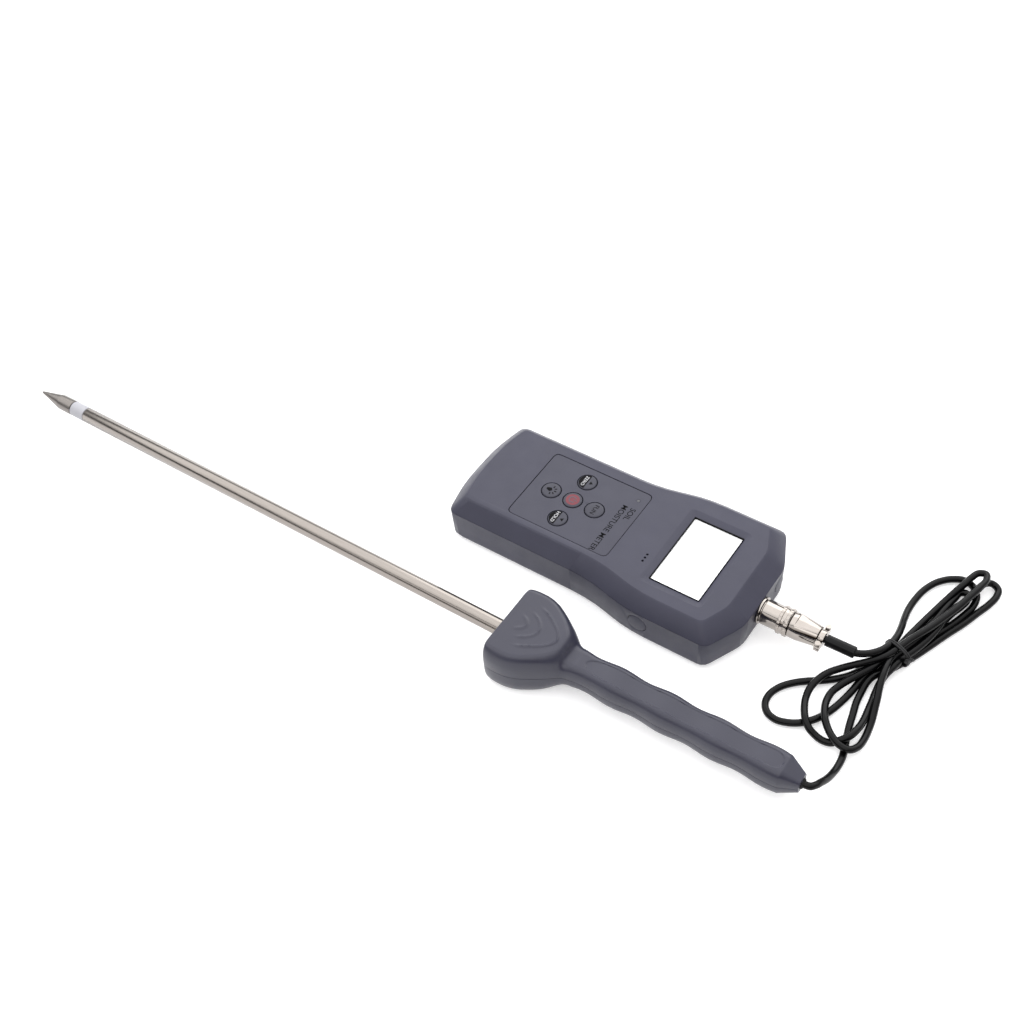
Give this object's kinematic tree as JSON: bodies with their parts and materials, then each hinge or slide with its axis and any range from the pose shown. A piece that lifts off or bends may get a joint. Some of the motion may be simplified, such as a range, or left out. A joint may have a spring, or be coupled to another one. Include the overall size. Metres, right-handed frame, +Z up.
{
  "type": "soil moisture meter",
  "caption": "Handheld soil moisture meter with a keypad and display window, a plug-in lead in a tied bundle, and a long stab probe with a fan-shaped hand guard and ribbed grip.",
  "frame": {"origin": "on the ground plane, under the middle of the meter and probe taken together without the lead and its plug", "axes": "+X from the probe tip towards the display end of the meter, +Y from the probe towards the meter, +Z up"},
  "size_m": [0.4996, 0.178, 0.0271],
  "materials": {
    "slate_plastic": "fine matte moulded ABS",
    "black_plastic": "matte",
    "white_plastic": "smooth",
    "nickel": "bright nickel plate",
    "steel": "satin stainless",
    "dark_steel": "hardened, dark",
    "board": "solder mask",
    "red_key": "matte",
    "grey_key": "matte",
    "rubber": "semi-gloss sheath",
    "cell": "foil wrapped"
  },
  "bodies": {
    "meter_and_probe": {"front_housing": "slate_plastic", "rear_housing": "slate_plastic", "side_port_plug": "slate_plastic", "end_port_plug": "slate_plastic", "keypad_overlay": "slate_plastic", "handle_upper": "slate_plastic", "handle_lower": "slate_plastic", "housing_screw_1": "dark_steel", "housing_screw_2": "dark_steel", "housing_screw_3": "dark_steel", "housing_screw_4": "dark_steel", "handle_screw_1": "dark_steel", "handle_screw_2": "dark_steel", "probe_tip": "dark_steel", "core_rod": "dark_steel", "display_panel": "grey_key", "switch_mat": "rubber", "shrink_sleeve": "rubber", "cord_lead_meter": "rubber", "cord_bundle": "rubber", "cord_lead_probe": "rubber", "cord_grommet": "rubber", "indicator_light": "white_plastic", "display_window": "white_plastic", "insulator_ring": "white_plastic", "inner_sleeve": "white_plastic", "main_board": "board", "sensor_board": "board", "display_frame": "black_plastic", "beeper": "black_plastic", "battery_tray": "black_plastic", "socket_insert": "black_plastic", "plug_insert": "black_plastic", "twist_tie": "black_plastic", "battery_1": "cell", "battery_2": "cell", "battery_3": "cell", "battery_4": "cell", "contact_strip_end": "nickel", "contact_strip_inner": "nickel", "socket_body": "nickel", "socket_nut": "nickel", "plug_shell": "nickel", "cord_clamp_top": "nickel", "cord_clamp_base": "nickel", "clamp_screw_1": "nickel", "clamp_screw_2": "nickel", "tube_collar": "nickel", "probe_tube": "steel"},
    "battery_door_body": {"battery_door": "slate_plastic"},
    "button_backlight_body": {"button_backlight": "grey_key"},
    "button_down_body": {"button_down": "grey_key"},
    "button_function_body": {"button_function": "grey_key"},
    "button_power_body": {"button_power": "red_key"},
    "button_up_body": {"button_up": "grey_key"},
    "ring_body": {"coupling_ring": "nickel"}
  },
  "joints": [
    {"name": "button_power_press", "type": "slide", "parent": "meter_and_probe", "child": "button_power_body", "axis": [0, 0, -1], "range_m": [0, 0.0006], "stiffness_N_per_m": 800, "springref_m": -0.0006},
    {"name": "button_backlight_press", "type": "slide", "parent": "meter_and_probe", "child": "button_backlight_body", "axis": [0, 0, -1], "range_m": [0, 0.0006], "stiffness_N_per_m": 800, "springref_m": -0.0006},
    {"name": "button_function_press", "type": "slide", "parent": "meter_and_probe", "child": "button_function_body", "axis": [0, 0, -1], "range_m": [0, 0.0006], "stiffness_N_per_m": 800, "springref_m": -0.0006},
    {"name": "button_up_press", "type": "slide", "parent": "meter_and_probe", "child": "button_up_body", "axis": [0, 0, -1], "range_m": [0, 0.0006], "stiffness_N_per_m": 800, "springref_m": -0.0006},
    {"name": "button_down_press", "type": "slide", "parent": "meter_and_probe", "child": "button_down_body", "axis": [0, 0, -1], "range_m": [0, 0.0006], "stiffness_N_per_m": 800, "springref_m": -0.0006},
    {"name": "battery_door_slide", "type": "slide", "parent": "meter_and_probe", "child": "battery_door_body", "axis": [-1, 0, 0], "range_m": [0, 0.05]},
    {"name": "coupling_ring_turn", "type": "hinge", "parent": "meter_and_probe", "child": "ring_body", "pos_m": [0.1835, 0.02695, 0.012], "axis": [1, 0, 0], "range_deg": [0, 340]}
  ]
}
